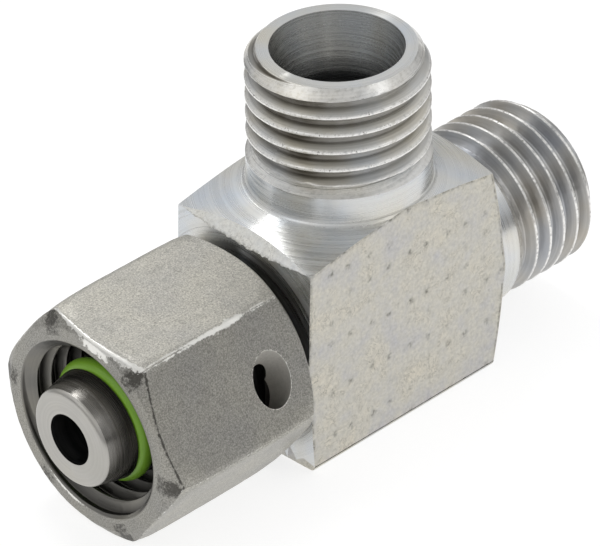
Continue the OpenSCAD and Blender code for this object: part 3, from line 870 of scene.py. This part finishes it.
def point_outwards(mesh):
    """Turns a closed mesh's faces outwards."""
    form = bmesh.new()
    form.from_mesh(mesh)
    bmesh.ops.recalc_face_normals(form, faces=form.faces)
    form.to_mesh(mesh)
    form.free()


def cut_feed_hole(nut):
    """Drills the slanting hole that the wire went in through, along a tangent of the wire's ring. Returns
    the nut, the point where the hole meets the ring and the hole's direction."""
    angle = math.radians(FEED_ANGLE)
    along = Vector((0, math.sin(angle), math.cos(angle)))
    foot = Vector((-WIRE_REACH, -WIRE_RING_R * math.cos(angle), WIRE_RING_R * math.sin(angle)))
    across = along.cross(Vector((1, 0, 0))).normalized()
    third = along.cross(across).normalized()
    count = 64
    points = []
    # The drill's point, its shoulder and its far end
    section = ((-1.0, 0.02), (0.0, FEED_R), (12.0, FEED_R))
    for reach, r in section:
        for a in (2 * math.pi * k / count for k in range(count)):
            points.append(foot + along * reach + across * (r * math.cos(a)) + third * (r * math.sin(a)))
    faces = grid_faces(len(section), count)
    faces += [tuple(range(count))[::-1], tuple(range(len(points) - count, len(points)))]
    drill = mesh_object("drill", [tuple(p) for p in points], faces)
    point_outwards(drill.data)
    point_outwards(nut.data)
    cut = nut.modifiers.new("feed_hole", "BOOLEAN")
    cut.operation = "DIFFERENCE"
    cut.solver = "EXACT"
    cut.object = drill
    done = plain_copy(nut, "swivel_nut_worn")
    bpy.data.objects.remove(drill)
    return done, np.array(foot), np.array(along)


def mark_nut(nut, foot, along):
    """Where the nut's edges are worn and carry painted highlights, how much painted shade each face gets,
    and where dark scale is left.
    """
    mesh = nut.data
    p = np.empty(len(mesh.vertices) * 3, dtype=np.float32)
    mesh.vertices.foreach_get("co", p)
    p = p.reshape(-1, 3).astype(float) / MM
    s = -p[:, 0]
    r = np.hypot(p[:, 1], p[:, 2])
    theta = np.degrees(np.arctan2(p[:, 1], p[:, 2]))
    from_flat = (theta - NUT_TURN) % 60 - 30
    to_flat = r * np.cos(np.radians(from_flat))
    flats = NUT_AF / 2 / np.cos(np.radians(from_flat))
    front = FRONT_CHAMFER_R + (NUT_FRONT - s) / FRONT_CHAMFER
    outside = (r > 7.5) & (s > NUT_REAR + 0.05)
    coarse = ripple(p, 1.1, 21)
    fine = ripple(p, 0.35, 22)
    # Distances in millimetres from the nearest corner of the hexagon and from its front chamfer
    to_corner = (30 - np.abs(from_flat)) * math.pi / 180 * NUT_CORNER_R
    to_front = (front - np.minimum(flats, NUT_CORNER_R)) / math.tan(math.radians(60))

    def nearest(first, wanted):
        """Where the nearest of six angles, 60 degrees apart from the first, is the wanted one."""
        closest = first + 60 * np.round((theta - first) / 60)
        return np.abs((closest - wanted + 180) % 360 - 180) < 1

    # The corner above the drilled flat took most of the tumbling: a worn band with a painted highlight,
    # widest at its middle
    hit = nearest(NUT_TURN, WORN_GLINT_CORNER)
    middle = np.exp(-((s - 17.6) / 1.7) ** 2) + 0.40 * np.exp(-((s - 22.6) / 2.4) ** 2)
    notch = 1 - np.exp(-((s - 15.2) / 0.30) ** 2)
    width = np.where(hit, (0.20 + 0.34 * middle) * notch, 0.12) * (1 + 0.45 * coarse + 0.25 * fine)
    wear_and_glint = np.clip(1.15 - to_corner / width, 0, 1) * np.where(hit, 0.74 + 0.16 * fine, 0.45)
    # Away from its widest spot the painted highlight is two bright lines with plainer metal between them
    between = np.exp(-(to_corner / 0.07) ** 2) * np.clip(np.abs(s - 18.0) / 3.0 - 0.4, 0, 1)
    wear_and_glint *= np.where(hit, 1 - 0.6 * between, 1)
    wear_and_glint *= np.clip((to_front + 0.2) / 0.3, 0, 1)
    # The chamfer's edge gets a painted highlight above the top flat and a fainter one elsewhere, and is
    # dark and torn on the drilled flat
    drilled = nearest(NUT_TURN + 30, DRILLED_FLAT)
    top = nearest(NUT_TURN + 30, TOP_FLAT)
    # The painted highlight on the top flat's edge widens towards that same corner
    along_edge = np.clip((NUT_TURN - theta) / 60, 0, 1)
    edge_width = np.where(top, 0.15 + 0.30 * along_edge, 0.16) * (1 + 0.7 * coarse + 0.5 * fine)
    edge = np.clip(1.2 - np.abs(to_front) / np.maximum(edge_width, 0.04), 0, 1)
    wear_and_glint = np.maximum(wear_and_glint, edge * np.where(drilled, 0.2, np.where(top, 0.78 + 0.14 * fine, 0.42)))
    # Painted highlight on the feed hole's rim, on the side away from the mouth
    off = p - foot
    hole_r = np.linalg.norm(off - (off @ along)[:, None] * along, axis=1)
    rim = (np.abs(hole_r - FEED_R) < 0.02) & (to_flat > 8.40)
    rim_glint_side = np.clip((WIRE_REACH - s) / 1.2 + 0.4, 0, 1)
    wear_and_glint = np.maximum(wear_and_glint, rim * 0.9 * rim_glint_side) * outside
    scale = np.clip(1.1 - np.abs(to_front - 0.14) / 0.28, 0, 1)
    scale *= np.where(drilled, 0.60 + 0.15 * fine, 0.30)
    patch = np.clip(1.25 - np.hypot(to_corner / 1.7, (to_front + 0.40) / 0.9), 0, 1)
    scale = np.maximum(scale, patch * 0.62) * outside * (s > 23.5)
    scale = np.maximum(scale, 0.28 * np.clip(coarse, 0, 1) * outside)
    # Painted highlight on the countersink's edge at the bottom
    low = np.exp(-(((theta - COUNTERSINK_GLINT + 180) % 360 - 180) / 22) ** 2)
    sink_glint = np.clip(1.2 - np.abs(r - 7.25) / 0.30, 0, 1) * low * (s > NUT_FRONT - 0.2)
    wear_and_glint = np.maximum(wear_and_glint, sink_glint * (0.75 + 0.2 * fine))
    # Painted shade: the drilled flat, the end face and the other flats are darker than the top flat
    end_face = (s > NUT_FRONT - 0.01) | (to_front < -0.05) & (s > 24.0)
    shade = np.where(end_face, 0.60, np.where(drilled, 0.62, np.where(top, 0.97, 0.79)))
    note(mesh, {"wear_and_glint": wear_and_glint, "scale": scale, "shade": shade})
    mesh.shade_smooth()
    mesh.set_sharp_from_angle(angle=math.radians(32))
    give(mesh, hex_steel, drilled_steel, nut_bore_steel)
    for face in mesh.polygons:
        c = np.array(face.center) / MM
        from_foot = c - foot
        from_axis = np.linalg.norm(from_foot - (from_foot @ along) * along)
        if abs(from_axis - FEED_R) < 0.03 and from_foot @ along > 0:
            face.material_index = 1
        elif math.hypot(c[1], c[2]) < 7.3 and c[0] > -NUT_FRONT + 0.05:
            face.material_index = 2


nut, hole_foot, hole_along = cut_feed_hole(nut_form())
mark_nut(nut, hole_foot, hole_along)
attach(nut, "nut")
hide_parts("swivel_nut")

# The solids that are shown as they are
give(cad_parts["o_ring"].data, seal_rubber())
give(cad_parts["retaining_wire"].data, drawn_wire_steel())

# Floor, light and camera

# Brightness of the pale tent around the fitting, from the horizon at 0 to straight overhead at 1
TENT = ((0.0, 0.20), (0.14, 0.30), (0.32, 0.66), (0.50, 0.80), (0.62, 0.85), (0.74, 0.90), (0.85, 0.62),
        (1.0, 0.48))
FLOOR_LIFT = 0.76
LAMP_DISTANCE = 0.70
# Each soft lamp: its direction from the fitting, its side in metres and its face's brightness
SOFTBOXES = (
    ("back_softbox", (0.14, 0.495, 0.857), 0.16, 7.0),
    ("high_softbox", (0.067, 0.312, 0.947), 0.14, 2.0),
    ("left_softbox", (-0.60, 0.18, 0.78), 0.30, 0.6),
    ("right_softbox", (0.27, -0.61, 0.74), 0.20, 1.2),
)


def white_floor():
    """The white floor that the fitting lies on: it keeps the fitting's shadow, and what sees it directly
    or in a reflection sees it lifted towards white."""
    low = cad_box[0].z
    bpy.ops.mesh.primitive_circle_add(vertices=96, radius=1.6, fill_type="NGON",
                                      location=(0, 0, low - 0.00002))
    floor = bpy.context.object
    floor.name = "floor"
    material, tree = new_material("white_floor")
    rays = add(tree, "LightPath").node.outputs
    white = add(tree, "BsdfDiffuse", {"Color": linear("A8A8A8")})
    shiny = add(tree, "Math", {0: rays["Is Glossy Ray"], 1: rays["Is Transmission Ray"]},
                operation="MAXIMUM")
    seen = add(tree, "Math", {0: rays["Is Camera Ray"], 1: shiny}, operation="MAXIMUM")
    lift = add(tree, "Math", {0: seen, 1: FLOOR_LIFT}, operation="MULTIPLY")
    glow = add(tree, "Emission", {"Color": linear("FFFFFF"), "Strength": lift})
    both = add(tree, "AddShader", {0: white, 1: glow})
    add(tree, "OutputMaterial", {0: both})
    give(floor.data, material)


def light():
    """A pale tent of cloth round the fitting, and four soft lamps."""
    world = bpy.data.worlds.new("pale_tent")
    bpy.context.scene.world = world
    world.use_nodes = True
    tree = world.node_tree
    tree.nodes.clear()
    direction = add(tree, "TexCoord", out="Generated")
    height = add(tree, "SeparateXYZ", {0: direction}, out=2)
    tent = add(tree, "ValToRGB", {0: height})
    fill_ramp(tent.node.color_ramp, [(place, (level, level, level, 1.0)) for place, level in TENT])
    room = add(tree, "Background", {"Color": tent, "Strength": 1.0})
    add(tree, "OutputWorld", {0: room})
    for name, towards, size, brightness in SOFTBOXES:
        lamp = bpy.data.lights.new(name, "AREA")
        lamp.shape = "SQUARE"
        lamp.size = size
        # The power that gives the lamp's face this brightness
        lamp.energy = brightness * math.pi * size * size
        holder = linked(name, lamp)
        holder.location = Vector(towards).normalized() * LAMP_DISTANCE
        holder.rotation_mode = "QUATERNION"
        holder.rotation_quaternion = Vector(towards).to_track_quat("Z", "Y")
        holder.visible_camera = False


def photo_camera():
    """The camera that the photograph was taken from, fitted to the fitting's edges."""
    azimuth = math.radians(-43.326)
    height = math.radians(34.155)
    roll = math.radians(-1.496)
    # Millimetres back from the crossing of the axes, to its left and above it
    distance = 352.666
    leftwards = 3.320
    upwards = 0.907
    # Pixels of the photograph to a millimetre there, and its width and the lens's shift in pixels
    per_mm = 13.198
    photo_width = 600
    shift_right = 2.017
    shift_up = -0.316
    sensor = 36
    back = Vector((math.sin(azimuth) * math.cos(height), -math.cos(azimuth) * math.cos(height),
                   math.sin(height)))
    level = Vector((0, 0, 1)).cross(back).normalized()
    rise = back.cross(level)
    right = level * math.cos(roll) + rise * math.sin(roll)
    up = rise * math.cos(roll) - level * math.sin(roll)
    place = (back * distance - right * leftwards + up * upwards) * MM
    data = bpy.data.cameras.new("photo_camera")
    camera = linked("photo_camera", data)
    camera.matrix_world = Matrix.Translation(place) @ Matrix((right, up, back)).transposed().to_4x4()
    data.sensor_width = sensor
    data.lens = per_mm * distance / photo_width * sensor
    data.shift_x = shift_right / photo_width
    data.shift_y = shift_up / photo_width
    data.clip_start = 0.01
    data.clip_end = 10
    bpy.context.scene.camera = camera


white_floor()
light()
photo_camera()
bpy.context.scene.view_settings.view_transform = "Standard"
